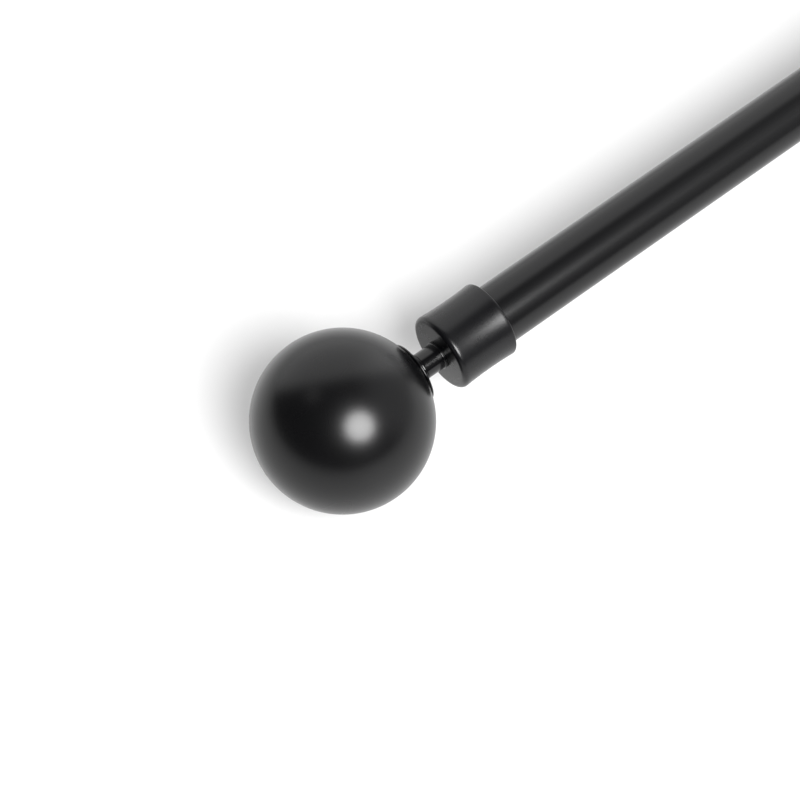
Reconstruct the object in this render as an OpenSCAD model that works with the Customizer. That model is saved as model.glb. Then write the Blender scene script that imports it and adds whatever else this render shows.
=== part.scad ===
// Extending curtain rod with ball finials, held off the wall by two brackets.
// X runs along the rod, Y points to the wall and Z is up. The origin is on the wall, midway between
// the two brackets and level with the rod: it is the centre of the four wall screw holes.

/* [Rod] */
// Length of the rod between the faces of its two end caps, as it stands
rod_length = 960; // [920:10:1020]
// Outside diameter of the thick tube
outer_tube_d = 19; // [18.8:0.1:19.2]
// Wall of the thick tube
outer_tube_wall = 1; // [0.9:0.05:1]
// Outside diameter of the thin tube that slides inside
inner_tube_d = 16; // [15.8:0.1:16]
// Wall of the thin tube
inner_tube_wall = 0.8; // [0.6:0.1:1]
// Length of the thin tube, most of it hidden in the thick one
inner_tube_length = 800; // [700:10:800]
// How much of the thin tube shows between the thick tube's mouth and the right cap
inner_tube_shown = 110; // [104:1:130]

/* [End caps] */
// Outside diameter of the turned cap on each rod end
cap_d = 24.25; // [23:0.25:26]
// Length of the cap
cap_length = 19.5; // [18:0.5:24]
// Thickness of the cap's closed face
cap_face = 3; // [2.5:0.25:4]
// How far the cap's side dips in at mid length
cap_waist = 0.3; // [0:0.05:0.4]

/* [Finials] */
// Diameter of the ball
ball_d = 53.5; // [52:0.5:56]
// Wall of the hollow ball
ball_wall = 1.2; // [0.8:0.1:2]
// Diameter of the neck sleeve between cap and ball
neck_d = 8.2; // [7.4:0.1:9]
// Length of the neck sleeve
neck_length = 7.2; // [5:0.1:9]
// Diameter of the collar where the neck meets the cap
collar_d = 8.8; // [8.4:0.1:10]
// Thickness of that collar
collar_t = 1; // [0.6:0.1:3]
// Diameter of the dished washer between neck and ball
washer_d = 19; // [19:0.5:20]
// Thickness of the dished washer
washer_t = 0.6; // [0.4:0.1:0.8]
// How far the washer's rim leans over the ball
washer_sag = 1.3; // [0.6:0.1:1.3]
// Diameter of the threaded stud
stud_d = 6; // [5:0.5:6]

/* [Brackets] */
// Distance between the two brackets
bracket_spacing = 480; // [400:10:520]
// Distance from the wall to the rod's axis
projection = 90; // [88:1:96]
// Diameter of the round wall plate
plate_d = 53.5; // [52:0.5:60]
// Thickness of the wall plate
plate_t = 2.5; // [2:0.25:3.5]
// Distance between a plate's two screw holes
screw_spacing = 36; // [34:1:38]
// Diameter of the wall screw holes
screw_hole_d = 4.8; // [4:0.2:5]
// Diameter of the fixed post on the plate
post_d = 9.96; // [9:0.02:9.96]
// Outside diameter of the arm tube that slides over the post
arm_d = 13; // [12.6:0.2:14]
// Width of the cradle along the rod
cradle_width = 14; // [12:1:18]
// Thickness of the cradle's wall
cradle_wall = 3.4; // [3:0.2:4]
// Height of the cradle's two lips above the rod's axis
cradle_lip = 8; // [6:0.5:9]
// Diameter of the thumbscrew's knurled head
thumb_d = 12; // [10:0.5:14]

/* [Hidden] */

$fn = 96;
LEFT = -1;
RIGHT = 1;
cut = 1;             // how far a cutting tool runs past the face it cuts
arc_steps = 8;       // straight steps in each rounded edge
loose = 0.05;        // gap between faces that meet on pieces that part
thread_gap = 0.05;   // radial gap in a thread or a running fit
swing_gap = 0.3;     // gap between the rod and the cradle

black = "#202022";
gloss_black = "#141416";
nylon_black = "#2b2b2d";
zinc = "#b9bcc0";
oxide = "#34353a";

// Rod
outer_r = outer_tube_d / 2;
outer_bore_r = outer_r - outer_tube_wall;
inner_r = inner_tube_d / 2;
inner_bore_r = inner_r - inner_tube_wall;
face_x = rod_length / 2;
tube_end_x = face_x - cap_face;
bush_lip = 1.2;
bush_length = 15;
mouth_x = face_x - cap_length - inner_tube_shown;
tail_x = tube_end_x - inner_tube_length;
tail_lip = 5;
tail_plug = 10;
tail_slip = 0.08;

// End cap, along its own axis from the face at zero inwards
cap_r = cap_d / 2;
cap_edge = 1.5;
cap_rim = 0.5;
cap_slip = 0.1;
cap_screw_d = 4;
cap_screw_from_rim = 6;
cap_screw_sunk = 0.4;   // how far the screw's end lies below the cap's side
socket_share = 0.58;    // a grub screw's hexagon socket, as a share of its radius

// Finial, along the same axis outwards from the cap's face
ball_r = ball_d / 2;
ball_flat_r = neck_d / 2;
washer_z = collar_t + neck_length + loose;
ball_flat_z = washer_z + washer_t + loose;
ball_z = ball_flat_z + sqrt(ball_r * ball_r - ball_flat_r * ball_flat_r);
washer_hole_r = stud_d / 2 + 0.1;
nut_r = 6;
nut_length = 12;
stud_inside = 13;
stud_reach = 12.9;      // how far the stud stands inside the ball
stud_tip_z = ball_flat_z + stud_reach;
neck_bead_r = 0.6;
neck_bead_set = 0.1;    // from the bead to the neck's end
lock_nut_flats = 10;
lock_nut_t = 5;

// Bracket, along its own axis from the wall outwards
bracket_x = bracket_spacing / 2;
plate_round = plate_t * 0.6;
sink_depth = 1.5;
sink_growth = 4;        // countersink's largest diameter, over the screw hole's
post_length = 55.5;
spigot_r = 3;
arm_bore_r = 5.05;
arm_start = 20;
arm_setback = 15.5;     // from the arm tube's end to the rod's axis
arm_end = projection - arm_setback;
arm_screw_from_start = 10;
boss_r = 4.2;
boss_drop = 3.2;
arm_screw_sunk = 0.6;
arm_screw_length = arm_d / 2 + boss_drop - arm_bore_r - arm_screw_sunk;
cradle_in_r = outer_r + swing_gap;
cradle_out_r = cradle_in_r + cradle_wall;
cradle_spigot = 4;
saddle_bite = 0.4;      // how far the cradle's stem runs into its half ring
screw_r = 2;
screw_boss_r = 4.8;
screw_boss = 3.2;
pad_gap = 0.1;
pad_r = 1.6;
pad_length = 2;
thumb_length = 7;
thumb_shank = 9.2;
thumb_socket = 5;       // how far the stud is pressed into the head
thumb_grooves = 24;
groove_r = 0.45;
groove_end = 1;         // plain rim at each end of the knurl

// Points of an arc about a centre, from one angle to another
function arc(centre, r, from, to, steps = arc_steps) =
    [for (i = [0:steps]) let (a = from + (to - from) * i / steps) centre + r * [cos(a), sin(a)]];

// The axis of one rod end: local +Z leaves the rod, and zero is the cap's face
module rod_end(side)
    translate([side * face_x, -projection, 0]) rotate([0, side * 90, 0]) children();

// The axis of one bracket: local +Z leaves the wall, local +Y is up
module bracket(side)
    translate([side * bracket_x, 0, 0]) rotate([90, 0, 0]) children();

// A length of tube or bar along X on the rod's axis, from one place to another
module along_rod(from, to, r, bore_r = 0)
    translate([from, -projection, 0]) rotate([0, 90, 0]) ring(r, bore_r, to - from);

module ring(r, bore_r, length)
    difference() {
        cylinder(r = r, h = length);
        if (bore_r > 0) translate([0, 0, -cut]) cylinder(r = bore_r, h = length + 2 * cut);
    }

// A hexagon socket grub screw standing on its tip
module grub_screw(r, length)
    difference() {
        cylinder(r = r, h = length);
        translate([0, 0, length - r]) cylinder(r = r * socket_share, h = r + cut, $fn = 6);
    }

module outer_tube() color(black)
    along_rod(-tube_end_x, mouth_x, outer_r, outer_bore_r);

// Nylon bush in the thick tube's mouth: it guides the thin tube
module glide_bush() color(nylon_black)
    difference() {
        union() {
            along_rod(mouth_x - bush_length, mouth_x, outer_bore_r);
            along_rod(mouth_x, mouth_x + bush_lip, outer_r);
        }
        along_rod(mouth_x - bush_length - cut, mouth_x + bush_lip + cut, inner_r + thread_gap);
    }

module inner_tube() color(black)
    along_rod(tail_x, tube_end_x, inner_r, inner_bore_r);

// Nylon plug on the hidden end of the thin tube: it keeps that end centred
module tail_bush() color(nylon_black) {
    along_rod(tail_x - tail_lip, tail_x, outer_bore_r - tail_slip);
    along_rod(tail_x, tail_x + tail_plug, inner_bore_r);
}

// Outline of the cap's outside from its rim to its face: a small round at the rim, a shallow
// hollow along the side and a larger round at the face
function cap_outline() =
    let (waist_half = (cap_length - cap_edge - cap_rim) / 2,
         waist_z = -cap_edge - waist_half)
    concat(
        arc([cap_r - cap_rim, -cap_length + cap_rim], cap_rim, -90, 0),
        [for (i = [1:arc_steps - 1]) let (t = 2 * i / arc_steps - 1)
            [cap_r - cap_waist * (1 - t * t), waist_z + t * waist_half]],
        arc([cap_r - cap_edge, -cap_edge], cap_edge, 0, 90));

module end_cap(side, tube_r) color(black)
    rod_end(side) difference() {
        rotate_extrude() polygon(concat([[0, 0], [0, -cap_length]], cap_outline()));
        translate([0, 0, -cap_length - cut])
            cylinder(r = tube_r + cap_slip, h = cap_length - cap_face + cut);
        translate([0, 0, -cap_face - cut]) cylinder(r = stud_d / 2, h = cap_face + 2 * cut);
        translate([0, 0, cap_screw_from_rim - cap_length]) rotate([0, side * 90, 0])
            cylinder(r = cap_screw_d / 2, h = cap_r + cut);
    }

module cap_screw(side, tube_r) color(oxide)
    rod_end(side) translate([0, 0, cap_screw_from_rim - cap_length]) rotate([0, side * 90, 0])
        intersection() {
            translate([0, 0, tube_r]) grub_screw(cap_screw_d / 2, cap_r - cap_screw_sunk - tube_r);
            cylinder(r = cap_screw_d / 2, h = cap_r);
        }

module lock_nut(side) color(zinc)
    rod_end(side) translate([0, 0, -cap_face - lock_nut_t]) difference() {
        cylinder(d = lock_nut_flats / cos(30), h = lock_nut_t, $fn = 6);
        translate([0, 0, -cut]) cylinder(r = stud_d / 2, h = lock_nut_t + 2 * cut);
    }

module stud(side) color(zinc)
    rod_end(side) translate([0, 0, -stud_inside]) cylinder(r = stud_d / 2, h = stud_inside + stud_tip_z);

module collar(side) color(gloss_black)
    rod_end(side) ring(collar_d / 2, stud_d / 2, collar_t);

// Sleeve over the stud, with a bead where it meets the dished washer
module neck(side) color(gloss_black)
    rod_end(side) translate([0, 0, collar_t]) rotate_extrude() polygon(concat(
        [[stud_d / 2, 0], [neck_d / 2, 0]],
        arc([neck_d / 2, neck_length - neck_bead_r - neck_bead_set], neck_bead_r, -90, 90),
        [[stud_d / 2, neck_length]]));

// Pressed washer that leans over the ball like a shallow dish
module washer(side) color(gloss_black)
    rod_end(side) translate([0, 0, washer_z]) rotate_extrude() difference() {
        polygon(concat(
            [for (i = [0:arc_steps]) dish_point(i / arc_steps, 0)],
            [for (i = [arc_steps:-1:0]) dish_point(i / arc_steps, washer_t)]));
        square([washer_hole_r, 2 * washer_sag + washer_t]);
    }

// A point on the dish, as a share of its radius and a height through its thickness: flat in the
// middle, where neck and ball bear on it, and then a curve
function dish_point(share, height) =
    let (r = share * washer_d / 2, past = max(0, r - ball_flat_r) / (washer_d / 2 - ball_flat_r))
    [r, height + washer_sag * past * past];

module ball(side) color(black)
    rod_end(side) difference() {
        translate([0, 0, ball_z]) sphere(r = ball_r);
        translate([0, 0, ball_z]) sphere(r = ball_r - ball_wall);
        translate([0, 0, ball_flat_z - 2 * cut]) cylinder(r = ball_r, h = 2 * cut);
        translate([0, 0, ball_flat_z - cut]) cylinder(r = washer_hole_r, h = 2 * ball_wall + cut);
    }

// Threaded boss welded inside the ball
module ball_nut(side) color(zinc)
    rod_end(side) difference() {
        intersection() {
            translate([0, 0, ball_z]) sphere(r = ball_r - ball_wall);
            translate([0, 0, ball_flat_z]) cylinder(r = nut_r, h = nut_length);
        }
        translate([0, 0, ball_flat_z - cut])
            cylinder(r = stud_d / 2 + thread_gap, h = nut_length + 2 * cut);
    }

module wall_plate(side) color(black)
    bracket(side) difference() {
        rotate_extrude() polygon(concat([[0, 0], [plate_d / 2, 0]],
            arc([plate_d / 2 - plate_round, plate_t - plate_round], plate_round, 0, 90), [[0, plate_t]]));
        translate([0, 0, -cut]) cylinder(r = spigot_r, h = plate_t + 2 * cut);
        for (up = [-1, 1]) translate([0, up * screw_spacing / 2, 0]) {
            translate([0, 0, -cut]) cylinder(d = screw_hole_d, h = plate_t + 2 * cut);
            translate([0, 0, plate_t - sink_depth]) cylinder(d1 = screw_hole_d,
                d2 = screw_hole_d + sink_growth * (1 + cut / sink_depth), h = sink_depth + cut);
        }
    }

module post(side) color(black)
    bracket(side) {
        cylinder(r = spigot_r, h = plate_t);
        translate([0, 0, plate_t]) cylinder(d = post_d, h = post_length);
    }

// Tube that slides over the post, with a threaded boss underneath for its clamp screw
module arm(side) color(black)
    bracket(side) difference() {
        union() {
            translate([0, 0, arm_start]) cylinder(d = arm_d, h = arm_end - arm_start);
            translate([0, 0, arm_start + arm_screw_from_start]) rotate([90, 0, 0])
                cylinder(r = boss_r, h = arm_d / 2 + boss_drop);
        }
        translate([0, 0, arm_start - cut]) cylinder(r = arm_bore_r, h = arm_end - arm_start + 2 * cut);
        translate([0, 0, arm_start + arm_screw_from_start]) rotate([90, 0, 0])
            cylinder(r = screw_r, h = arm_d / 2 + boss_drop + cut);
    }

module arm_screw(side) color(oxide)
    bracket(side) translate([0, 0, arm_start + arm_screw_from_start]) rotate([90, 0, 0])
        translate([0, 0, arm_bore_r]) grub_screw(screw_r, arm_screw_length);

// Side view of the cradle about the rod's axis: a half ring with two upright lips
module cradle_outline() {
    difference() {
        circle(r = cradle_out_r);
        circle(r = cradle_in_r);
        translate([-cradle_out_r - cut, 0]) square(2 * (cradle_out_r + cut));
    }
    for (face = [-1, 1]) translate([face * (cradle_in_r + cradle_wall / 2), 0]) {
        translate([-cradle_wall / 2, 0]) square([cradle_wall, cradle_lip - cradle_wall / 2]);
        translate([0, cradle_lip - cradle_wall / 2]) circle(d = cradle_wall);
    }
}

module cradle(side) color(black)
    difference() {
        union() {
            translate([side * bracket_x - cradle_width / 2, -projection, 0]) rotate([90, 0, 90])
                linear_extrude(cradle_width) cradle_outline();
            bracket(side) {
                translate([0, 0, arm_end - cradle_spigot]) cylinder(r = arm_bore_r, h = cradle_spigot);
                difference() {
                    translate([0, 0, arm_end]) cylinder(d = arm_d, h = projection - arm_end);
                    translate([0, 0, projection]) rotate([0, 90, 0])
                        cylinder(r = cradle_out_r - saddle_bite, h = arm_d + 2 * cut, center = true);
                }
                translate([0, 0, projection + cradle_in_r + cradle_wall / 2])
                    cylinder(r = screw_boss_r, h = cradle_wall / 2 + screw_boss);
            }
        }
        bracket(side) translate([0, 0, projection + cradle_in_r - cut])
            cylinder(r = screw_r + thread_gap, h = cradle_wall + screw_boss + 2 * cut);
    }

// Nylon tip that bears on the rod and doesn't turn with the screw
module screw_pad(side) color(nylon_black)
    bracket(side) translate([0, 0, projection + outer_r + pad_gap]) cylinder(r = pad_r, h = pad_length);

// The thumbscrew's own axis: zero is the stud's end, against the nylon tip
module thumbscrew(side)
    bracket(side) translate([0, 0, projection + outer_r + pad_gap + pad_length + loose]) children();

module thumb_stud(side) color(black)
    thumbscrew(side) cylinder(r = screw_r, h = thumb_shank + thumb_socket);

// Knurled head pressed on the stud
module thumb_head(side) color(black)
    thumbscrew(side) translate([0, 0, thumb_shank]) difference() {
        cylinder(d = thumb_d, h = thumb_length);
        translate([0, 0, -cut]) cylinder(r = screw_r, h = thumb_socket + cut);
        for (i = [0:thumb_grooves - 1]) rotate(i * 360 / thumb_grooves)
            translate([thumb_d / 2, 0, groove_end]) cylinder(r = groove_r, h = thumb_length - 2 * groove_end);
    }

outer_tube();
glide_bush();
inner_tube();
tail_bush();

end_cap(LEFT, outer_r);  // left_end_cap
cap_screw(LEFT, outer_r);  // left_cap_screw
lock_nut(LEFT);  // left_lock_nut
stud(LEFT);  // left_stud
collar(LEFT);  // left_collar
neck(LEFT);  // left_neck
washer(LEFT);  // left_washer
ball(LEFT);  // left_ball
ball_nut(LEFT);  // left_ball_nut

end_cap(RIGHT, inner_r);  // right_end_cap
cap_screw(RIGHT, inner_r);  // right_cap_screw
lock_nut(RIGHT);  // right_lock_nut
stud(RIGHT);  // right_stud
collar(RIGHT);  // right_collar
neck(RIGHT);  // right_neck
washer(RIGHT);  // right_washer
ball(RIGHT);  // right_ball
ball_nut(RIGHT);  // right_ball_nut

wall_plate(LEFT);  // left_wall_plate
post(LEFT);  // left_post
arm(LEFT);  // left_arm
arm_screw(LEFT);  // left_arm_screw
cradle(LEFT);  // left_cradle
screw_pad(LEFT);  // left_screw_pad
thumb_stud(LEFT);  // left_thumb_stud
thumb_head(LEFT);  // left_thumb_head

wall_plate(RIGHT);  // right_wall_plate
post(RIGHT);  // right_post
arm(RIGHT);  // right_arm
arm_screw(RIGHT);  // right_arm_screw
cradle(RIGHT);  // right_cradle
screw_pad(RIGHT);  // right_screw_pad
thumb_stud(RIGHT);  // right_thumb_stud
thumb_head(RIGHT);  // right_thumb_head
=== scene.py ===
import bmesh
import bpy
import numpy as np
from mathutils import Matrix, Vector


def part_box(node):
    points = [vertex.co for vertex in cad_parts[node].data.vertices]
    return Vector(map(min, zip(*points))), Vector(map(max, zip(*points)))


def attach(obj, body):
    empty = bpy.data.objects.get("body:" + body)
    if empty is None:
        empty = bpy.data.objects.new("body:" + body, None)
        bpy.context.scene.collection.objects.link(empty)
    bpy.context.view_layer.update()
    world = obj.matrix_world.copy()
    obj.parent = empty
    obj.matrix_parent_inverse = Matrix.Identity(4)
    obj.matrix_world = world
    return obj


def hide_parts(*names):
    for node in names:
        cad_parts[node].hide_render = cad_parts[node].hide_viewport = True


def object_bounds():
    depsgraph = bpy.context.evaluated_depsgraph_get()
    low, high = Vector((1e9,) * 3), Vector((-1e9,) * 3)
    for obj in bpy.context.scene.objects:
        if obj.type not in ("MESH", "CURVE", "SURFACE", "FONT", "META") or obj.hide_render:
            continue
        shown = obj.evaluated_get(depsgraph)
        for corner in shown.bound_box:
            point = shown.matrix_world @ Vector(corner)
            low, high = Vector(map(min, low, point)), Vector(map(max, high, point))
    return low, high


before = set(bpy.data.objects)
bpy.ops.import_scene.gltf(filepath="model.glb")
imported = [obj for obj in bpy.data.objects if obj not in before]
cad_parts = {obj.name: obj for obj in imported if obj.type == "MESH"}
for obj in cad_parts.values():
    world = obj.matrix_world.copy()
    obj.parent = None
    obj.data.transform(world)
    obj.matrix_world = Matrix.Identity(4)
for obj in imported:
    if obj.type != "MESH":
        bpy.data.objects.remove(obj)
cad_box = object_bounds()


# ---- Thick tube ----
# Steel strip bent and welded into a 19 mm tube with a 1 mm wall, drawn to size and powder coated. The
# coat lies a little rounded over the sawn ends and keeps a faint lengthwise grain from the drawing.
MM = 0.001


def arc(station, radius, size, start, end, steps=8):
    """Outline points on a circle about a centre, from one angle to another in degrees: the centre plus
    size times the cosine along the axis and the sine outwards."""
    angle = np.radians(np.linspace(start, end, steps + 1))
    return np.column_stack((station + size * np.cos(angle), radius + size * np.sin(angle)))


def rounded(corners, steps=6):
    """A closed outline through corners given as station, radius and rounding. Each rounded corner is an
    arc that touches both edges at rounding over the tangent of half the corner's angle, with one more
    point beside each end of the arc so that the flats next to it stay flat when shaded."""
    spots = np.array([corner[:2] for corner in corners], float)
    outline = []
    for here, before, after, (_, _, rounding) in zip(
        spots, np.roll(spots, 1, 0), np.roll(spots, -1, 0), corners
    ):
        if rounding == 0:
            outline.append(here[None])
            continue
        back = (before - here) / np.linalg.norm(before - here)
        on = (after - here) / np.linalg.norm(after - here)
        half = np.arccos(np.clip(back @ on, -1, 1)) / 2
        reach = rounding / np.tan(half)
        middle = here + (back + on) / np.linalg.norm(back + on) * rounding / np.sin(half)
        first, last = here + back * reach - middle, here + on * reach - middle
        swing = np.pi - 2 * half
        share = np.linspace(0, 1, steps + 1)[:, None]
        bend = (np.sin((1 - share) * swing) * first + np.sin(share * swing) * last) / np.sin(swing)
        beside = 0.3 * rounding
        outline += [
            (here + back * (reach + beside))[None], middle + bend, (here + on * (reach + beside))[None]
        ]
    return np.concatenate(outline)


def turned(outline, start, axis, around=128):
    """Rings of a turned piece, in metres. An outline point's station and radius, in millimetres, go to
    start + station * axis + radius * (cosine * across + sine * up), once for each step around."""
    axis = np.array(axis, float)
    across = np.cross(axis, (0.0, 0.0, 1.0)) if abs(axis[2]) < 0.5 else np.array((1.0, 0.0, 0.0))
    up = np.cross(across, axis)
    turn = np.linspace(0, 2 * np.pi, around, endpoint=False)[:, None]
    ring = np.cos(turn) * across + np.sin(turn) * up
    station, radius = (np.asarray(outline, float) * MM).T[:, :, None, None]
    return np.array(start) + station * axis + radius * ring


def skin(grid, loop=True):
    """Points and quads over rows of rings. A quad joins four neighbours, and a loop also joins the last
    row to the first. The quads are turned outwards by the sign of the volume that they enclose."""
    rows, columns = grid.shape[:2]
    i = np.arange(rows if loop else rows - 1)[:, None]
    j = np.arange(columns)[None, :]
    next_i, next_j = (i + 1) % rows, (j + 1) % columns
    corners = (i * columns + j, i * columns + next_j, next_i * columns + next_j, next_i * columns + j)
    quads = np.stack(np.broadcast_arrays(*corners), -1).reshape(-1, 4)
    points = grid.reshape(-1, 3)
    a, b, c, d = (points - points.mean(0))[quads].transpose(1, 0, 2)
    volume = np.einsum("ij,ij", a, np.cross(b, c)) + np.einsum("ij,ij", a, np.cross(c, d))
    return points, quads if volume > 0 else quads[:, ::-1]


def smooth(mesh, crease=40):
    """Shades a mesh smooth, with edges sharper than crease degrees left sharp."""
    mesh.shade_smooth()
    mesh.set_sharp_from_angle(angle=np.radians(crease))


def make_mesh(name, skins, crease=40):
    """One mesh of several closed skins, each keeping its own points, with coinciding points merged and
    edges sharper than crease degrees left sharp."""
    shift = np.cumsum([0] + [len(points) for points, _ in skins])
    mesh = bpy.data.meshes.new(name)
    mesh.from_pydata(
        np.concatenate([points for points, _ in skins]).tolist(), [],
        np.concatenate([quads + by for (_, quads), by in zip(skins, shift)]).tolist(),
    )
    weld = bmesh.new()
    weld.from_mesh(mesh)
    bmesh.ops.remove_doubles(weld, verts=weld.verts, dist=1e-7)
    weld.to_mesh(mesh)
    weld.free()
    smooth(mesh, crease)
    return mesh


def make_piece(mesh, material, slot, body, *nodes):
    """An object for a finished mesh, with its material, that stands for CAD nodes and rides a body."""
    piece = bpy.data.objects.new(mesh.name, mesh)
    bpy.context.scene.collection.objects.link(piece)
    mesh.materials.clear()
    mesh.materials.append(material)
    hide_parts(*nodes)
    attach(piece, body)
    return piece


def linear(hex_colour):
    """An sRGB hex colour as linear red, green, blue and alpha: a channel up to 0.04045 is divided by
    12.92, and one above it is ((channel + 0.055) / 1.055) to the power 2.4."""
    channel = np.array([int(hex_colour[k:k + 2], 16) for k in (1, 3, 5)]) / 255
    return (*np.where(channel <= 0.04045, channel / 12.92, ((channel + 0.055) / 1.055) ** 2.4), 1.0)


def add_node(tree, kind, inputs=None, **settings):
    """Adds a node, applies its settings, and gives each named input a value or another node's output."""
    node = tree.nodes.new(kind)
    for setting, value in settings.items():
        setattr(node, setting, value)
    for name, value in (inputs or {}).items():
        if isinstance(value, bpy.types.NodeSocket):
            tree.links.new(value, node.inputs[name])
        else:
            node.inputs[name].default_value = value
    return node


def new_material(name, **sockets):
    """A node material with the shader's own sockets set. Returns it, its tree and its shader."""
    material = bpy.data.materials.new(name)
    material.use_nodes = True
    shader = material.node_tree.nodes["Principled BSDF"]
    for socket, value in sockets.items():
        shader.inputs[socket.replace("_", " ")].default_value = value
    return material, material.node_tree, shader


def drawn_tube_coat():
    """Semi-matt black polyester powder on drawn tube. It flows to a soft skin with a shallow ripple
    about 1 mm across, over drawing lines some 0.4 mm apart that run the tube's length."""
    material, tree, shader = new_material("semi_matt_powder_coat_on_tube", IOR=1.4)
    place = add_node(tree, "ShaderNodeTexCoord").outputs["Object"]
    lengthwise = add_node(tree, "ShaderNodeMapping", {"Vector": place, "Scale": (6, 2400, 2400)})
    lines = add_node(tree, "ShaderNodeTexNoise",
                     {"Vector": lengthwise.outputs["Vector"], "Scale": 1.0, "Detail": 2.0})
    ripple = add_node(tree, "ShaderNodeTexNoise", {"Vector": place, "Scale": 1000.0, "Detail": 1.0})
    tree.links.new(add_node(
        tree, "ShaderNodeMapRange", {"Value": lines.outputs["Fac"], "To Min": 0.21, "To Max": 0.26}
    ).outputs["Result"], shader.inputs["Roughness"])
    cloud = add_node(tree, "ShaderNodeTexNoise", {"Vector": place, "Scale": 25.0, "Detail": 2.0})
    tree.links.new(add_node(
        tree, "ShaderNodeMix", {0: cloud.outputs["Fac"], 6: linear("#080809"), 7: linear("#0b0b0c")},
        data_type="RGBA",
    ).outputs[2], shader.inputs["Base Color"])
    fine = add_node(tree, "ShaderNodeBump",
                    {"Height": lines.outputs["Fac"], "Strength": 0.05, "Distance": 0.02 * MM})
    tree.links.new(add_node(
        tree, "ShaderNodeBump", {"Height": ripple.outputs["Fac"], "Strength": 0.2,
                                 "Distance": 0.015 * MM, "Normal": fine.outputs["Normal"]},
    ).outputs["Normal"], shader.inputs["Normal"])
    return material


tube_coat = drawn_tube_coat()
ALONG = (1, 0, 0)
tube_low, tube_high = (np.array(corner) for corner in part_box("outer_tube"))
AXIS_Y, AXIS_Z = (tube_low + tube_high)[1:] / 2
OUTER_R, OUTER_WALL = 9.5, 1.0


def on_axis(x):
    """A point on the rod's axis."""
    return (x, AXIS_Y, AXIS_Z)


def tube_outline(low_x, high_x, radius, wall, edge):
    """The section of a tube's wall, with rounded edges at both ends."""
    length = (high_x - low_x) / MM
    return rounded([(0, radius, edge), (length, radius, edge),
                    (length, radius - wall, edge), (0, radius - wall, edge)])


outer = turned(tube_outline(tube_low[0], tube_high[0], OUTER_R, OUTER_WALL, 0.25),
               on_axis(tube_low[0]), ALONG)
make_piece(make_mesh("thick_tube", [skin(outer)]), tube_coat, "satin_black", "rod", "outer_tube")


# ---- Glide bush ----
# An injection-moulded nylon bush pressed into the thick tube's mouth. Its lip covers the cut edge and its
# bore guides the thin tube, so that paint doesn't rub on paint. Nylon is slightly waxy, with a mould grain.
def moulded_nylon():
    """Black polyamide from a spark-eroded mould: a fine even grain about 0.15 mm across, drawn here at
    0.3 mm so that it shows, and a waxy half gloss."""
    material, tree, shader = new_material("moulded_black_nylon", IOR=1.53, Base_Color=linear("#19191a"))
    place = add_node(tree, "ShaderNodeTexCoord").outputs["Object"]
    grain = add_node(tree, "ShaderNodeTexNoise", {"Vector": place, "Scale": 3300.0, "Detail": 2.0})
    tree.links.new(add_node(
        tree, "ShaderNodeMapRange", {"Value": grain.outputs["Fac"], "To Min": 0.42, "To Max": 0.6}
    ).outputs["Result"], shader.inputs["Roughness"])
    tree.links.new(add_node(
        tree, "ShaderNodeBump", {"Height": grain.outputs["Fac"], "Strength": 0.35, "Distance": 0.03 * MM}
    ).outputs["Normal"], shader.inputs["Normal"])
    return material


nylon = moulded_nylon()
bush_low, bush_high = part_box("glide_bush")
BUSH_LIP = 1.2
BUSH_BORE_R = 8.05
bush_length = (bush_high.x - bush_low.x) / MM
bush = turned(rounded([
    (0, OUTER_R - OUTER_WALL, 0.2), (bush_length - BUSH_LIP, OUTER_R - OUTER_WALL, 0),
    (bush_length - BUSH_LIP, OUTER_R, 0.1), (bush_length, OUTER_R, 0.5),
    (bush_length, BUSH_BORE_R, 0.4), (0, BUSH_BORE_R, 0.2),
]), on_axis(bush_low.x), ALONG)
make_piece(make_mesh("nylon_glide_bush", [skin(bush)]), nylon, "black_nylon", "rod", "glide_bush")


# ---- Thin tube ----
# The same drawn and coated steel tube in the 16 mm size, which telescopes in the thick one. The nylon
# plug on its hidden end stays as the CAD has it.
INNER_R, INNER_WALL = 8.0, 0.8
inner_low, inner_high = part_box("inner_tube")
inner = turned(tube_outline(inner_low.x, inner_high.x, INNER_R, INNER_WALL, 0.2),
               on_axis(inner_low.x), ALONG)
make_piece(make_mesh("thin_tube", [skin(inner)]), tube_coat, "satin_black", "inner_rod", "inner_tube")


def finish_node(node, material):
    """A CAD node keeps its shape and takes a finished material."""
    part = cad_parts[node]
    part.data.materials.clear()
    part.data.materials.append(material)
    smooth(part.data, 30)


finish_node("tail_bush", nylon)


# ---- End caps ----
# Turned zinc-alloy caps, 24.25 mm across, bored to slip over a tube's end and spray enamelled. The side
# is slightly waisted, the front edge has a 1.5 mm round, and a grub screw underneath holds the cap.
CAP_R = 12.125
CAP_LENGTH = 19.5
CAP_FACE = 3.0
CAP_EDGE = 1.5
CAP_RIM = 0.5
CAP_WAIST = 0.3
CAP_SLIP = 0.1
STUD_R = 3.0
ENDS = {"left": (-1, "rod", OUTER_R), "right": (1, "inner_rod", INNER_R)}


def cap_outline(tube_r):
    """The cap's section, from its face at zero inwards. The side between the two rounds dips by the
    waist times one minus the square of the share of the way from its middle to either round."""
    half = (CAP_LENGTH - CAP_EDGE - CAP_RIM) / 2
    share = np.linspace(-1, 1, 25)[1:-1]
    side = np.column_stack((-CAP_EDGE - half - share * half, CAP_R - CAP_WAIST * (1 - share ** 2)))
    bore = rounded([(-CAP_LENGTH, tube_r + CAP_SLIP, 0.2), (-CAP_FACE, tube_r + CAP_SLIP, 0),
                    (-CAP_FACE, STUD_R, 0), (0, STUD_R, 0)])
    return np.concatenate([
        arc(-CAP_EDGE, CAP_R - CAP_EDGE, CAP_EDGE, 90, 0)[::-1],
        side,
        arc(-CAP_LENGTH + CAP_RIM, CAP_R - CAP_RIM, CAP_RIM, 90, 180, 6),
        bore,
        [(0, STUD_R + 0.2), (0, CAP_R - CAP_EDGE - 0.4)],
    ])


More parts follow.
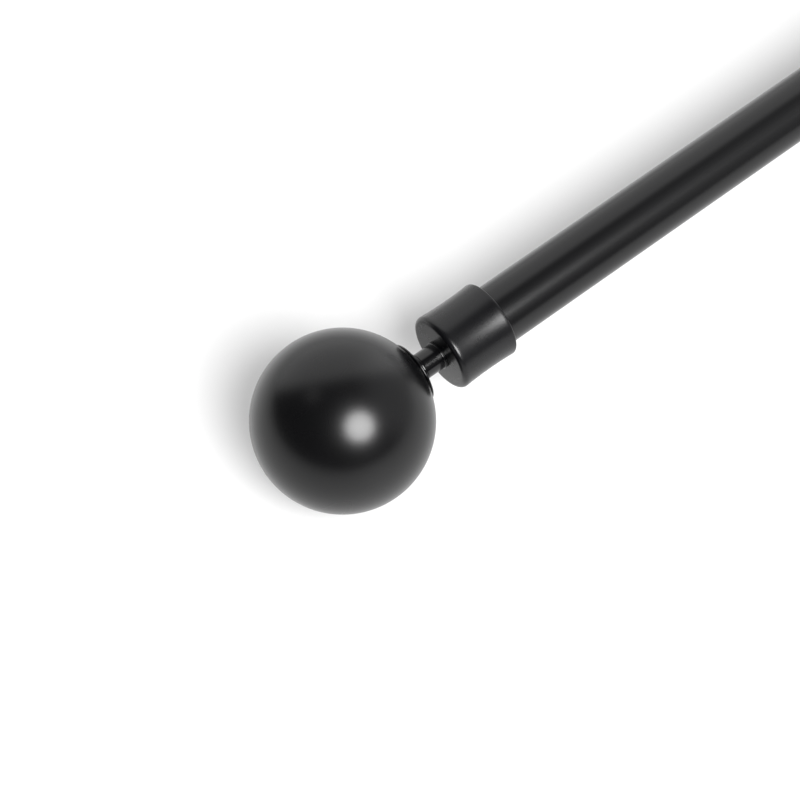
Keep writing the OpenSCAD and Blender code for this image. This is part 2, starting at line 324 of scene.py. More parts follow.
def cut_away(name, mesh, *cutters):
    """A mesh less the cutters, which are closed skins."""
    body = bpy.data.objects.new(name, mesh)
    bpy.context.scene.collection.objects.link(body)
    tools = [bpy.data.objects.new("cutter", make_mesh("cutter", [cutter])) for cutter in cutters]
    for tool in tools:
        bpy.context.scene.collection.objects.link(tool)
        taken = body.modifiers.new("cut", "BOOLEAN")
        taken.object, taken.operation, taken.solver = tool, "DIFFERENCE", "EXACT"
    bpy.context.view_layer.update()
    cut = bpy.data.meshes.new_from_object(body.evaluated_get(bpy.context.evaluated_depsgraph_get()))
    for used in [body, *tools]:
        bpy.data.objects.remove(used)
    cut.name = name
    smooth(cut, 30)
    return cut


def peg(start, axis, radius, length, around=48):
    """A closed skin round a plain peg, used as a drill."""
    return skin(turned([(0, 0), (0, radius), (length, radius), (length, 0)], start, axis, around), False)


def turned_cap_enamel():
    """Satin black acrylic enamel over a turned surface. It is smoother than powder, and the cutter's
    rings, about 0.3 mm apart, only just show through it."""
    material, tree, shader = new_material("satin_enamel_on_turned_zinc", IOR=1.4,
                                          Base_Color=linear("#08080a"))
    place = add_node(tree, "ShaderNodeTexCoord").outputs["Object"]
    crosswise = add_node(tree, "ShaderNodeMapping", {"Vector": place, "Scale": (3300, 12, 12)})
    rings = add_node(tree, "ShaderNodeTexNoise",
                     {"Vector": crosswise.outputs["Vector"], "Scale": 1.0, "Detail": 1.0})
    flow = add_node(tree, "ShaderNodeTexNoise", {"Vector": place, "Scale": 500.0, "Detail": 1.0})
    tree.links.new(add_node(
        tree, "ShaderNodeMapRange", {"Value": flow.outputs["Fac"], "To Min": 0.26, "To Max": 0.3}
    ).outputs["Result"], shader.inputs["Roughness"])
    tree.links.new(add_node(
        tree, "ShaderNodeBump", {"Height": rings.outputs["Fac"], "Strength": 0.06, "Distance": 0.01 * MM}
    ).outputs["Normal"], shader.inputs["Normal"])
    return material


enamel = turned_cap_enamel()
face_at = {"left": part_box("left_end_cap")[0].x, "right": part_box("right_end_cap")[1].x}
for end, (side, body, tube_r) in ENDS.items():
    outward = (side, 0, 0)
    screw_low, screw_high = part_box(f"{end}_cap_screw")
    screw_x, screw_r = (screw_low.x + screw_high.x) / 2, (screw_high.x - screw_low.x) / 2
    drill = peg((screw_x, AXIS_Y, AXIS_Z - tube_r * MM), (0, 0, -1), screw_r / MM + 0.02, CAP_R)
    cap = make_mesh("cap", [skin(turned(cap_outline(tube_r), on_axis(face_at[end]), outward))])
    make_piece(cut_away(f"{end}_turned_cap", cap, drill), enamel, "satin_black", body, f"{end}_end_cap")


# ---- Collars, necks and washers ----
# Between cap and ball each stud carries a thin turned collar, a sleeve with a bead at its far end and a
# pressed washer that leans over the ball like a shallow dish. All three are lacquered in gloss black.
def gloss_lacquer():
    """Two coats of black stoving lacquer. The surface is nearly a mirror, with a slow swell about 2 mm
    across where the lacquer flowed."""
    material, tree, shader = new_material("gloss_black_stoving_lacquer", IOR=1.45, Roughness=0.15,
                                          Base_Color=linear("#060607"))
    place = add_node(tree, "ShaderNodeTexCoord").outputs["Object"]
    swell = add_node(tree, "ShaderNodeTexNoise", {"Vector": place, "Scale": 500.0, "Detail": 0.0})
    tree.links.new(add_node(
        tree, "ShaderNodeBump", {"Height": swell.outputs["Fac"], "Strength": 0.15, "Distance": 0.02 * MM}
    ).outputs["Normal"], shader.inputs["Normal"])
    return material


lacquer = gloss_lacquer()
COLLAR_R, COLLAR_END = 4.4, 1.0
NECK_R, NECK_END = 4.1, 8.2
BEAD_R, BEAD_AT = 0.6, 7.5
WASHER_AT, WASHER_THICK, WASHER_R, WASHER_HOLE_R = 8.25, 0.6, 9.5, 3.1
WASHER_FLAT_R, WASHER_SAG = 4.1, 1.3

collar_outline = rounded([(0, STUD_R, 0), (0, COLLAR_R, 0.1),
                          (COLLAR_END, COLLAR_R, 0.25), (COLLAR_END, STUD_R, 0)])
neck_outline = np.concatenate([
    [(COLLAR_END, STUD_R), (COLLAR_END, NECK_R), (COLLAR_END + 0.3, NECK_R),
     (BEAD_AT - BEAD_R - 0.3, NECK_R)],
    arc(BEAD_AT, NECK_R, BEAD_R, 180, 0, 12),
    [(NECK_END, NECK_R), (NECK_END, STUD_R)],
])


def washer_outline():
    """The washer's section: its middle line is flat to the edge of the ball's flat and then sags by the
    square of the share of the way to the rim. The skin is half the thickness to either side of it, at
    right angles, and the rim is a half circle."""
    half = WASHER_THICK / 2
    radius = np.concatenate([np.linspace(WASHER_HOLE_R, WASHER_FLAT_R, 3)[:-1],
                             np.linspace(WASHER_FLAT_R, WASHER_R - half, 20)])
    past = np.maximum(radius - WASHER_FLAT_R, 0) / (WASHER_R - WASHER_FLAT_R)
    line = np.column_stack((WASHER_AT + half + WASHER_SAG * past ** 2, radius))
    slope = 2 * WASHER_SAG * past / (WASHER_R - WASHER_FLAT_R)
    normal = np.column_stack((np.ones_like(slope), -slope)) / np.sqrt(1 + slope ** 2)[:, None]
    turn = np.linspace(0, np.pi, 13)[1:-1, None]
    tangent = np.array((-normal[-1, 1], normal[-1, 0]))
    rim = line[-1] + half * (np.cos(turn) * -normal[-1] + np.sin(turn) * tangent)
    return np.concatenate([line - half * normal, rim, (line + half * normal)[::-1]])


for end, (side, body, _) in ENDS.items():
    face, outward = on_axis(face_at[end]), (side, 0, 0)
    collar = make_mesh(f"{end}_turned_collar", [skin(turned(collar_outline, face, outward))])
    make_piece(collar, lacquer, "gloss_black", body, f"{end}_collar")
    neck = make_mesh(f"{end}_beaded_sleeve", [skin(turned(neck_outline, face, outward))])
    make_piece(neck, lacquer, "gloss_black", body, f"{end}_neck")
    washer = make_mesh(f"{end}_dished_washer", [skin(turned(washer_outline(), face, outward, 160))])
    make_piece(washer, lacquer, "gloss_black", f"{end}_washer_ring", f"{end}_washer")


# ---- Ball finials ----
# Hollow balls of 53.5 mm, pressed from steel in two halves, welded, ground and powder coated. The flat
# that the washer bears on has the stud's hole, and the threaded boss inside stays as the CAD has it.
def powder_coat(name, low, high, ripple_mm, ripple_strength):
    """Satin black powder coat over steel: roughness between low and high in slow clouds, and a shallow
    orange peel with ripples of the given size."""
    material, tree, shader = new_material(name, IOR=1.4)
    place = add_node(tree, "ShaderNodeTexCoord").outputs["Object"]
    cloud = add_node(tree, "ShaderNodeTexNoise", {"Vector": place, "Scale": 30.0, "Detail": 3.0})
    ripple = add_node(tree, "ShaderNodeTexNoise",
                      {"Vector": place, "Scale": 1000.0 / ripple_mm, "Detail": 1.0})
    tree.links.new(add_node(
        tree, "ShaderNodeMapRange", {"Value": cloud.outputs["Fac"], "To Min": low, "To Max": high}
    ).outputs["Result"], shader.inputs["Roughness"])
    tree.links.new(add_node(
        tree, "ShaderNodeMix", {0: cloud.outputs["Fac"], 6: linear("#060607"), 7: linear("#080809")},
        data_type="RGBA",
    ).outputs[2], shader.inputs["Base Color"])
    tree.links.new(add_node(
        tree, "ShaderNodeBump", {"Height": ripple.outputs["Fac"], "Strength": ripple_strength,
                                 "Distance": 0.02 * MM},
    ).outputs["Normal"], shader.inputs["Normal"])
    return material


ball_coat = powder_coat("satin_powder_coat_on_pressed_ball", 0.25, 0.29, 0.9, 0.18)
BALL_R, BALL_WALL = 26.75, 1.2
BALL_HOLE_R = 3.1
BALL_FLAT_AT, BALL_FLAT_R = 8.9, 4.1


def ball_outline():
    """The shell's section from the far pole round to the flat, across the flat to the hole, through the
    wall and back along the inside."""
    centre = BALL_FLAT_AT + np.sqrt(BALL_R ** 2 - BALL_FLAT_R ** 2)
    inside = BALL_R - BALL_WALL
    outer_end = 180 - np.degrees(np.arcsin(BALL_FLAT_R / BALL_R))
    inner_end = 180 - np.degrees(np.arcsin(BALL_HOLE_R / inside))
    return np.concatenate([
        arc(centre, 0, BALL_R, 0, outer_end, 96),
        [(BALL_FLAT_AT, BALL_FLAT_R - 0.2), (BALL_FLAT_AT, BALL_HOLE_R)],
        arc(centre, 0, inside, inner_end, 0, 48),
    ])


# ---- Studs ----
# An M6 zinc-plated stud locked in each end cap carries the sleeve and takes the ball. Its rolled thread
# shows only while the ball is being unscrewed.
def plated_steel(name, hex_colour, low, high):
    """Plated or blackened steel hardware: a metal whose roughness wanders between low and high in
    patches about 2 mm across, from the bath it was dipped in."""
    material, tree, shader = new_material(name, Metallic=1.0, Base_Color=linear(hex_colour))
    place = add_node(tree, "ShaderNodeTexCoord").outputs["Object"]
    patch = add_node(tree, "ShaderNodeTexNoise", {"Vector": place, "Scale": 500.0, "Detail": 3.0})
    tree.links.new(add_node(
        tree, "ShaderNodeMapRange", {"Value": patch.outputs["Fac"], "To Min": low, "To Max": high}
    ).outputs["Result"], shader.inputs["Roughness"])
    return material


zinc = plated_steel("bright_zinc_plated_steel", "#b9bdc2", 0.22, 0.38)
oxide = plated_steel("black_oxide_screw_steel", "#2c2b2c", 0.3, 0.45)
M6_PITCH, M6_DEPTH = 1.0, 0.6


def threaded(start, axis, major_r, length, pitch, depth, around=48):
    """A threaded bar, in the units of turned. The radius is the major radius less the depth times a
    triangle wave of station / pitch + turn / (2 pi), flattened at crest and root, which climbs as a
    right-hand thread does. Both ends are chamfered at 45 degrees down to the thread's root."""
    station = np.linspace(0, length, int(round(length / pitch * 12)) + 1)[:, None]
    turn = np.linspace(0, 1, around, endpoint=False)
    wave = np.abs(2 * ((station / pitch + turn) % 1) - 1)
    radius = major_r - depth * np.clip(wave * 1.35 - 0.15, 0, 1)
    radius = np.minimum(radius, major_r - depth + np.minimum(station, length - station))
    rows = turned(np.column_stack((station[:, 0], np.ones(len(station)))), start, axis, around)
    middle = np.array(start) + station[:, :, None] * MM * np.array(axis, float)
    bar = middle + (rows - middle) * radius[:, :, None]
    ends = np.broadcast_to(middle[[0, -1]], (2, around, 3))
    return np.concatenate([ends[:1], bar, ends[1:]])


for end, (side, body, _) in ENDS.items():
    face, outward = on_axis(face_at[end]), (side, 0, 0)
    ball = make_mesh(f"{end}_pressed_ball", [skin(turned(ball_outline(), face, outward, 192), False)])
    make_piece(ball, ball_coat, "satin_black", f"{end}_finial", f"{end}_ball")
    finish_node(f"{end}_ball_nut", zinc)
    finish_node(f"{end}_lock_nut", zinc)
    finish_node(f"{end}_cap_screw", oxide)
    stud_low, stud_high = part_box(f"{end}_stud")
    inner_x = stud_high.x if side < 0 else stud_low.x
    bar = threaded(on_axis(inner_x), outward, STUD_R, (stud_high.x - stud_low.x) / MM, M6_PITCH, M6_DEPTH)
    stud = make_mesh(f"{end}_m6_stud", [skin(bar, False)], 60)
    make_piece(stud, zinc, "zinc_steel", body, f"{end}_stud")


# ---- Wall plates and posts ----
# Each bracket starts at a round pressed steel plate, 2.5 mm thick with a rolled front edge and two
# countersunk holes. A solid 10 mm post is riveted into it, and the powder coat fills the corner between.
bracket_coat = powder_coat("satin_powder_coat_on_bracket_steel", 0.33, 0.4, 1.0, 0.25)
PLATE_R, PLATE_THICK, PLATE_EDGE = 26.75, 2.5, 1.5
SPIGOT_R, POST_R, POST_END, POST_FILLET, POST_EDGE = 3.0, 4.98, 58.0, 0.6, 0.5
SCREW_HOLE_R, SINK_R, SINK_DEPTH = 2.4, 4.4, 1.5
SCREW_Z = 18.0
OUT = (0, -1, 0)

plate_outline = rounded([(0, SPIGOT_R, 0), (0, PLATE_R, 0.2), (PLATE_THICK, PLATE_R, PLATE_EDGE),
                         (PLATE_THICK, SPIGOT_R, 0)], 10)
sink_outline = [(-1, 0), (-1, SCREW_HOLE_R), (PLATE_THICK - SINK_DEPTH, SCREW_HOLE_R),
                (PLATE_THICK, SINK_R), (PLATE_THICK + 1, SINK_R + (SINK_R - SCREW_HOLE_R) / SINK_DEPTH),
                (PLATE_THICK + 1, 0)]
post_outline = np.concatenate([
    [(0, 0), (0, SPIGOT_R), (PLATE_THICK, SPIGOT_R)],
    arc(PLATE_THICK + POST_FILLET, POST_R + POST_FILLET, POST_FILLET, 180, 270),
    [(PLATE_THICK + POST_FILLET + 1, POST_R), (POST_END - POST_EDGE - 0.3, POST_R)],
    arc(POST_END - POST_EDGE, POST_R - POST_EDGE, POST_EDGE, 90, 0),
    [(POST_END, 0)],
])

for end in ENDS:
    plate_low, plate_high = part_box(f"{end}_wall_plate")
    x, z = (plate_low.x + plate_high.x) / 2, (plate_low.z + plate_high.z) / 2
    wall = (x, plate_high.y, z)
    drills = [skin(turned(sink_outline, (x, plate_high.y, z + up * SCREW_Z * MM), OUT, 64), False)
              for up in (-1, 1)]
    plate = make_mesh("plate", [skin(turned(plate_outline, wall, OUT, 160))])
    make_piece(cut_away(f"{end}_pressed_wall_plate", plate, *drills), bracket_coat, "satin_black",
               "wall_plates", f"{end}_wall_plate")
    post = make_mesh(f"{end}_bracket_post", [skin(turned(post_outline, wall, OUT, 96), False)])
    make_piece(post, bracket_coat, "satin_black", "wall_plates", f"{end}_post")


# ---- Bracket arms ----
# A 13 mm tube slides over each post and sets how far the rod stands off the wall. A short boss is welded
# underneath it for the grub screw that clamps it, with the weld dressed to a small fillet.
ARM_R, ARM_BORE_R = 6.5, 5.05
BOSS_R, BOSS_AT, BOSS_TOP, BOSS_BORE_R = 4.2, 30.0, 9.7, 2.0
BOSS_EDGE, BOSS_FILLET = 0.4, 0.6


def branch(centre, axis, host_axis, host_r, radius, fillet, crown, base, around=96):
    """A round branch that leaves a round host at right angles. Heights are measured from the host's axis
    along the branch. The crown is the outline of radius and height from the middle out to the wall's
    top. At the foot, the host's own height, the root of host_r squared less the square of the distance
    to the side, is added to a quarter circle of the fillet's size. The base closes it inside the host."""
    axis, host_axis = np.array(axis, float), np.array(host_axis, float)
    aside = np.cross(axis, host_axis)
    turn = np.linspace(0, 2 * np.pi, around, endpoint=False)
    quarter = np.radians(np.linspace(90, 0, 9))
    foot_r = np.append(radius + fillet * (1 - np.sin(quarter)), radius + fillet)[:, None]
    foot_up = np.append(fillet * (1 - np.cos(quarter)), -0.3)[:, None]
    host_up = np.sqrt(host_r ** 2 - (foot_r * np.sin(turn)) ** 2)
    wide = np.concatenate([np.repeat(np.array(crown, float)[:, :1], around, 1),
                           np.repeat(foot_r, around, 1),
                           np.repeat(np.array(base, float)[:, :1], around, 1)])
    high = np.concatenate([np.repeat(np.array(crown, float)[:, 1:], around, 1), host_up + foot_up,
                           np.repeat(np.array(base, float)[:, 1:], around, 1)])
    ring = np.cos(turn)[:, None] * host_axis + np.sin(turn)[:, None] * aside
    return np.array(centre) + (wide[:, :, None] * ring + high[:, :, None] * axis) * MM


arm_ends = {}
for end in ENDS:
    arm_low, arm_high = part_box(f"{end}_arm")
    x = (arm_low.x + arm_high.x) / 2
    arm_length = (arm_high.y - arm_low.y) / MM
    arm_outline = rounded([(0, ARM_R, 0.4), (arm_length, ARM_R, 0.25),
                           (arm_length, ARM_BORE_R, 0), (0, ARM_BORE_R, 0.3)])
    tube = skin(turned(arm_outline, (x, arm_high.y, AXIS_Z), OUT, 96))
    boss_crown = np.concatenate([
        [(BOSS_BORE_R, ARM_BORE_R + 0.3), (BOSS_BORE_R, BOSS_TOP - BOSS_EDGE),
         (BOSS_BORE_R + BOSS_EDGE, BOSS_TOP), (BOSS_R - BOSS_EDGE - 0.3, BOSS_TOP)],
        arc(BOSS_TOP - BOSS_EDGE, BOSS_R - BOSS_EDGE, BOSS_EDGE, 0, 90)[:, ::-1],
        [(BOSS_R, BOSS_TOP - 2 * BOSS_EDGE)],
    ])
    boss_centre = (x, -BOSS_AT * MM, AXIS_Z)
    boss = skin(branch(boss_centre, (0, 0, -1), (0, 1, 0), ARM_R, BOSS_R, BOSS_FILLET, boss_crown,
                       [(BOSS_R, ARM_BORE_R + 0.3)]))
    make_piece(make_mesh(f"{end}_sliding_arm", [tube, boss]), bracket_coat, "satin_black",
               f"{end}_bracket", f"{end}_arm")
    finish_node(f"{end}_arm_screw", oxide)
    arm_ends[end] = (x, arm_low.y)


# ---- Cradles ----
# A 14 mm wide steel strip is bent to a U that the rod drops into from above. Its stem plugs into the arm,
# and a tapped boss in front takes the thumbscrew. Edges are deburred and the welds dressed before coating.
CRADLE_LINE_R, CRADLE_HALF, CRADLE_EDGE = 11.5, 1.7, 0.5
CRADLE_WIDE = 14.0
CRADLE_LIP = 6.3
CRADLE_OUT_R = 13.2
SPIGOT_LENGTH, STEM_EDGE, STEM_FILLET = 4.0, 0.25, 0.4
TAPPED_R, TAPPED_TOP, TAPPED_BORE_R = 4.8, 16.4, 2.05
TAPPED_EDGE, TAPPED_SINK, TAPPED_FILLET = 0.5, 0.4, 0.8


def strip(centre):
    """A bent strip. Each point is a place on the strip's middle line, plus a half thickness along the
    line's normal, plus a distance across. The line is a half circle with two straight lips, and its
    normal swings through a half turn at each tip. Half thickness and distance follow a quarter circle
    at each edge of the strip, and the half thickness falls to nothing on the flat sides."""
    bend = np.radians(np.linspace(180, 360, 65))
    swing = np.radians(np.linspace(0, 180, 17))[1:-1]
    lip = np.linspace(CRADLE_LIP, 0, 4)[:-1]
    r, up = CRADLE_LINE_R, CRADLE_LIP
    straight, tip = np.ones(lip.size), np.ones(swing.size)
    line_y = np.concatenate([-r * straight, r * np.cos(bend), r * straight])
    line_z = np.concatenate([lip, r * np.sin(bend), lip[::-1]])
    normal_y = np.concatenate([-straight, np.cos(bend), straight])
    normal_z = np.concatenate([0 * straight, np.sin(bend), 0 * straight])
    place = np.column_stack((
        np.concatenate([line_y, r * tip, line_y[::-1], -r * tip]),
        np.concatenate([line_z, up * tip, line_z[::-1], up * tip]),
    ))
    normal = np.column_stack((
        np.concatenate([normal_y, np.cos(swing), -normal_y[::-1], np.cos(swing)]),
        np.concatenate([normal_z, np.sin(swing), -normal_z[::-1], np.sin(swing)]),
    ))
    quarter = np.radians(np.linspace(0, 90, 7))
    half = np.concatenate([[0, CRADLE_HALF - CRADLE_EDGE - 0.2],
                           CRADLE_HALF - CRADLE_EDGE * (1 - np.sin(quarter)), [CRADLE_HALF]])
    across = np.concatenate([[CRADLE_WIDE / 2] * 2,
                             CRADLE_WIDE / 2 - CRADLE_EDGE * (1 - np.cos(quarter)),
                             [CRADLE_WIDE / 2 - CRADLE_EDGE - 0.3]])
    half, across = np.concatenate([half, half[::-1]]), np.concatenate([across, -across[::-1]])
    flat = place + half[:, None, None] * normal
    wide = np.broadcast_to(across[:, None, None], (*flat.shape[:2], 1))
    return np.array(centre) + np.concatenate([wide, flat], -1) * MM


def join(name, *meshes):
    """Several meshes as one."""
    whole = bmesh.new()
    for mesh in meshes:
        whole.from_mesh(mesh)
    joined = bpy.data.meshes.new(name)
    whole.to_mesh(joined)
    whole.free()
    smooth(joined)
    return joined


for end, (x, arm_y) in arm_ends.items():
    centre = (x, AXIS_Y, AXIS_Z)
    stem_length = (arm_y - AXIS_Y) / MM
    drill = peg(centre, OUT, TAPPED_BORE_R, CRADLE_LINE_R + 4)
    bent = cut_away("bent", make_mesh("strip", [skin(strip(centre), False)]), drill)
    stem_crown = np.concatenate([
        [(0, stem_length + SPIGOT_LENGTH), (ARM_BORE_R, stem_length + SPIGOT_LENGTH),
         (ARM_BORE_R, stem_length), (ARM_R - 2 * STEM_EDGE, stem_length)],
        arc(stem_length - STEM_EDGE, ARM_R - STEM_EDGE, STEM_EDGE, 0, 90, 5)[:, ::-1],
    ])
    stem = skin(branch(centre, (0, 1, 0), (1, 0, 0), CRADLE_OUT_R, ARM_R, STEM_FILLET, stem_crown,
                       [(0, CRADLE_LINE_R)]), False)
    tapped_crown = np.concatenate([
        [(TAPPED_BORE_R, CRADLE_LINE_R), (TAPPED_BORE_R, TAPPED_TOP - TAPPED_SINK),
         (TAPPED_BORE_R + TAPPED_SINK, TAPPED_TOP), (TAPPED_R - TAPPED_EDGE - 0.3, TAPPED_TOP)],
        arc(TAPPED_TOP - TAPPED_EDGE, TAPPED_R - TAPPED_EDGE, TAPPED_EDGE, 0, 90)[:, ::-1],
    ])
    tapped = skin(branch(centre, OUT, (1, 0, 0), CRADLE_OUT_R, TAPPED_R, TAPPED_FILLET, tapped_crown,
                         [(TAPPED_R, CRADLE_LINE_R)]))
    cradle = join(f"{end}_open_cradle", bent, make_mesh("stem", [stem, tapped]))
    make_piece(cradle, bracket_coat, "satin_black", f"{end}_bracket", f"{end}_cradle")


# ---- Thumbscrews ----
# An M4 screw with a grooved 12 mm head, turned from brass bar and enamelled, clamps the rod through a
# nylon tip that doesn't turn with it.
HEAD_R, HEAD_LENGTH, HEAD_SOCKET = 6.0, 7.0, 5.0
HEAD_EDGE, HEAD_DISH_R, HEAD_DISH = 0.5, 4.4, 0.25
GROOVES, GROOVE_R, GROOVE_RIM = 24, 0.45, 1.0
SCREW_R, M4_PITCH, M4_DEPTH = 2.0, 0.7, 0.4


def grooved_head(start):
    """The head's rings. Across a groove, whose centre is on the head's own circle, a turn's radius is
    head radius * cos(turn) - the root of groove radius squared less (head radius * sin(turn)) squared.
    The grooves fade out over 0.3 mm before the plain rim at each end."""
    q = np.radians(np.linspace(-90, 90, 9))
    offset = np.append(np.arcsin(GROOVE_R * np.sin(q) / HEAD_R), np.pi / GROOVES)
    depth = HEAD_R - np.append(HEAD_R * np.cos(offset[:-1]) - GROOVE_R * np.cos(q), HEAD_R)
    turn = (np.arange(GROOVES)[:, None] * 2 * np.pi / GROOVES + offset).ravel()
    depth = np.tile(depth, GROOVES)
    low, high = GROOVE_RIM, HEAD_LENGTH - GROOVE_RIM
    rows = np.concatenate([
        [(HEAD_SOCKET, 0, 0), (HEAD_SOCKET, SCREW_R, 0), (0, SCREW_R, 0), (0, HEAD_R - HEAD_EDGE - 0.2, 0)],
        np.column_stack((arc(HEAD_EDGE, HEAD_R - HEAD_EDGE, HEAD_EDGE, 180, 90), np.zeros(9))),
        [(low, HEAD_R, 0), (low + 0.3, HEAD_R, 1), (high - 0.3, HEAD_R, 1), (high, HEAD_R, 0)],
        np.column_stack((arc(HEAD_LENGTH - HEAD_EDGE, HEAD_R - HEAD_EDGE, HEAD_EDGE, 90, 0), np.zeros(9))),
        [(HEAD_LENGTH, HEAD_DISH_R, 0), (HEAD_LENGTH - HEAD_DISH, HEAD_DISH_R - 0.4, 0),
         (HEAD_LENGTH - HEAD_DISH, 0, 0)],
    ])
    radius = rows[:, 1:2] - rows[:, 2:] * depth
    ring = np.column_stack((np.cos(turn), np.zeros_like(turn), np.sin(turn)))
    place = rows[:, :1, None] * np.array(OUT) + radius[:, :, None] * ring
    return np.array(start) + place * MM


for end in ENDS:
    x = arm_ends[end][0]
    pad_low, pad_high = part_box(f"{end}_screw_pad")
    pad_r, pad_length = (pad_high.x - pad_low.x) / 2 / MM, (pad_high.y - pad_low.y) / MM
    pad_outline = rounded([(0, 0, 0), (0, pad_r, 0.3), (pad_length, pad_r, 0.1), (pad_length, 0, 0)])
    pad = turned(pad_outline, (x, pad_high.y, AXIS_Z), OUT, 48)
    make_piece(make_mesh(f"{end}_nylon_tip", [skin(pad, False)]), nylon, "black_nylon",
               f"{end}_pad", f"{end}_screw_pad")
    shank_low, shank_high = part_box(f"{end}_thumb_stud")
    shank = threaded((x, shank_high.y, AXIS_Z), OUT, SCREW_R, (shank_high.y - shank_low.y) / MM,
                     M4_PITCH, M4_DEPTH)
    make_piece(make_mesh(f"{end}_m4_thumb_stud", [skin(shank, False)], 60), enamel, "satin_black",
               f"{end}_thumb", f"{end}_thumb_stud")
    head_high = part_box(f"{end}_thumb_head")[1]
    head = grooved_head((x, head_high.y, AXIS_Z))
    make_piece(make_mesh(f"{end}_grooved_thumb_head", [skin(head, False)], 35), enamel, "satin_black",
               f"{end}_thumb", f"{end}_thumb_head")


# ---- Floor ----
# The rod lies on a wide white table, level with the undersides of the balls and wall plates. It is
# matt opal acrylic and goes on far enough to have no edge. Its glow is painted light: a pool of it about
# the rod's line lifts the shadows and fades out further away.
# How far the painted pool of light on the floor reaches, and how bright its glow is.
PAINTED_LIGHT_NEAR, PAINTED_LIGHT_FAR = 0.12, 0.4
PAINTED_LIGHT_STRENGTH = 0.3


def painted_light_floor_material():
    """Matt opal acrylic: an even white with a faint mottle about 3 mm across. A painted glow, painted light
    that lifts the shade, is full up to the near distance from the rod's line and fades smoothly to none at
    the far distance."""
    material, tree, shader = new_material("matt_white_floor_painted_light_pool", Roughness=0.55, IOR=1.35,
                                          Emission_Color=linear("#ffffff"))
    place = add_node(tree, "ShaderNodeTexCoord").outputs["Object"]
    mottle = add_node(tree, "ShaderNodeTexNoise", {"Vector": place, "Scale": 330.0, "Detail": 2.0})
    tree.links.new(add_node(
        tree, "ShaderNodeMix", {0: mottle.outputs["Fac"], 6: linear("#b4b4b4"), 7: linear("#b6b6b6")},
        data_type="RGBA",
    ).outputs[2], shader.inputs["Base Color"])
    across = add_node(tree, "ShaderNodeSeparateXYZ", {"Vector": place}).outputs
    along = add_node(tree, "ShaderNodeMath", {0: across["X"]}, operation="ABSOLUTE").outputs["Value"]
    past_end = add_node(tree, "ShaderNodeMath", {0: along, 1: cad_box[1].x}, operation="SUBTRACT",
                        use_clamp=True).outputs["Value"]
    beside = add_node(tree, "ShaderNodeMath", {0: across["Y"], 1: AXIS_Y}, operation="SUBTRACT")
    reach = add_node(tree, "ShaderNodeCombineXYZ", {"X": past_end, "Y": beside.outputs["Value"]})
    distance = add_node(tree, "ShaderNodeVectorMath", {0: reach.outputs["Vector"]}, operation="LENGTH")
    # Painted light: the emission is a pool of glow about the rod's line that lifts the shade.
    tree.links.new(add_node(tree, "ShaderNodeMapRange", {
        "Value": distance.outputs["Value"], "From Min": PAINTED_LIGHT_NEAR, "From Max": PAINTED_LIGHT_FAR,
        "To Min": PAINTED_LIGHT_STRENGTH, "To Max": 0.0,
    }, interpolation_type="SMOOTHSTEP").outputs["Result"], shader.inputs["Emission Strength"])
    return material


FLOOR_REACH = 30.0
floor_z = cad_box[0].z
floor_mesh = bpy.data.meshes.new("studio_floor")
floor_mesh.from_pydata(
    [(x * FLOOR_REACH, y * FLOOR_REACH, floor_z) for x, y in ((-1, -1), (1, -1), (1, 1), (-1, 1))],
    [], [(0, 1, 2, 3)],
)
floor_mesh.materials.append(painted_light_floor_material())
floor = bpy.data.objects.new("studio_floor", floor_mesh)
bpy.context.scene.collection.objects.link(floor)


# ---- Studio light ----
# One large soft box high in front of the rod, so broad and distant that it lights the table evenly. The
# studio is dark but for a white backdrop behind the rod, a paler wall beyond its far end and a dim lamp.
KEY_DIRECTION = Vector((-0.0334, -0.6495, 0.7596))
KEY_WIDTH = 34
KEY_STRENGTH = 6.4
STUDIO_GREY = 0.06

key = bpy.data.lights.new("soft_box", "SUN")
key.angle = np.radians(KEY_WIDTH)
key.energy = KEY_STRENGTH
key_object = bpy.data.objects.new("soft_box", key)
key_object.rotation_euler = KEY_DIRECTION.to_track_quat("Z", "Y").to_euler()
bpy.context.scene.collection.objects.link(key_object)

world = bpy.data.worlds.new("studio")
world.use_nodes = True
bpy.context.scene.world = world
studio = world.node_tree
direction = add_node(studio, "ShaderNodeTexCoord").outputs["Generated"]


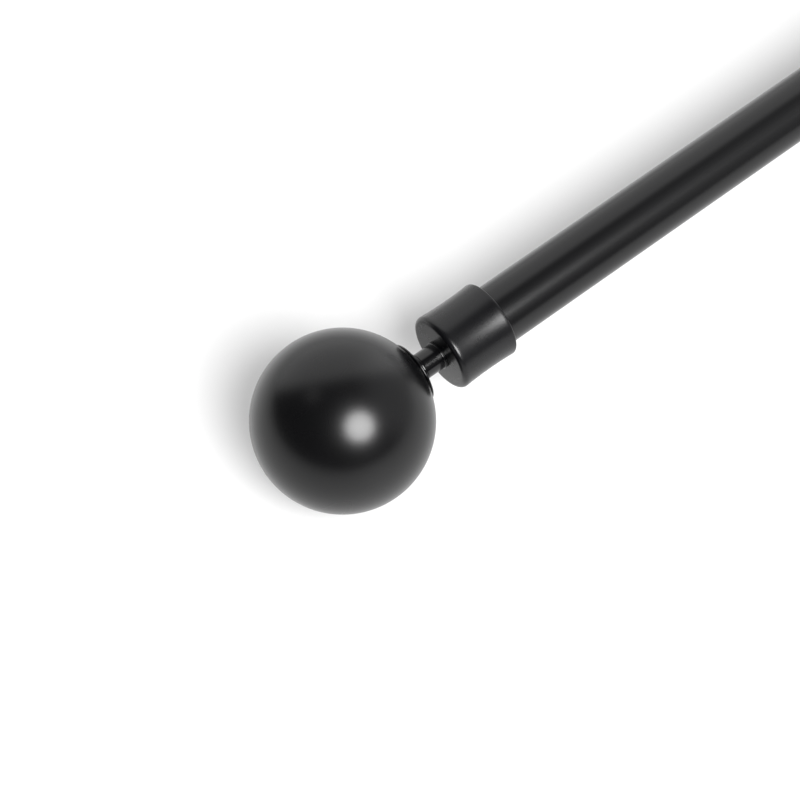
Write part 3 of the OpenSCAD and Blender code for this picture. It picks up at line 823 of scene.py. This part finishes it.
def patch(toward, brightness, inside, outside):
    """The radiance of a round patch of the studio about a direction: its brightness up to the inside
    angle in degrees, falling smoothly to nothing at the outside angle."""
    closeness = add_node(studio, "ShaderNodeVectorMath", {0: direction, 1: Vector(toward).normalized()},
                         operation="DOT_PRODUCT")
    return add_node(studio, "ShaderNodeMapRange", {
        "Value": closeness.outputs["Value"], "From Min": np.cos(np.radians(outside)),
        "From Max": np.cos(np.radians(inside)), "To Min": 0.0, "To Max": brightness,
    }, interpolation_type="SMOOTHSTEP").outputs["Result"]


BACKDROP = ((0.464, 0.861, 0.208), 1.4, 44, 62)
END_WALL = ((0.902, -0.291, 0.316), 0.68, 15, 55)
DIM_LAMP = ((-0.346, 0.443, 0.826), 0.56, 4, 12)
radiance = STUDIO_GREY
for lit in (BACKDROP, END_WALL, DIM_LAMP):
    radiance = add_node(studio, "ShaderNodeMath", {0: radiance, 1: patch(*lit)},
                        operation="ADD").outputs["Value"]
studio.links.new(radiance, studio.nodes["Background"].inputs["Color"])


# ---- Camera ----
# A long lens looks down over the left end of the rod from in front, close enough for the ball to fill a
# quarter of the frame's width.
CAMERA_AZIMUTH, CAMERA_ELEVATION = np.radians(-38.3), np.radians(61.7)
CAMERA_DISTANCE = 0.575
CAMERA_LENS = 90.5
AIM_RIGHT, AIM_UP = 0.0165, 0.0061

look = Vector((-np.sin(CAMERA_AZIMUTH) * np.cos(CAMERA_ELEVATION),
               np.cos(CAMERA_AZIMUTH) * np.cos(CAMERA_ELEVATION), -np.sin(CAMERA_ELEVATION)))
right = look.cross(Vector((0, 0, 1))).normalized()
ball_low, ball_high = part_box("left_ball")
aim = (ball_low + ball_high) / 2 + right * AIM_RIGHT + right.cross(look) * AIM_UP
camera = bpy.data.objects.new("camera", bpy.data.cameras.new("camera"))
camera.data.lens = CAMERA_LENS
camera.location = aim - look * CAMERA_DISTANCE
camera.rotation_euler = look.to_track_quat("-Z", "Y").to_euler()
bpy.context.scene.collection.objects.link(camera)
bpy.context.scene.camera = camera
bpy.context.scene.view_settings.view_transform = "Standard"
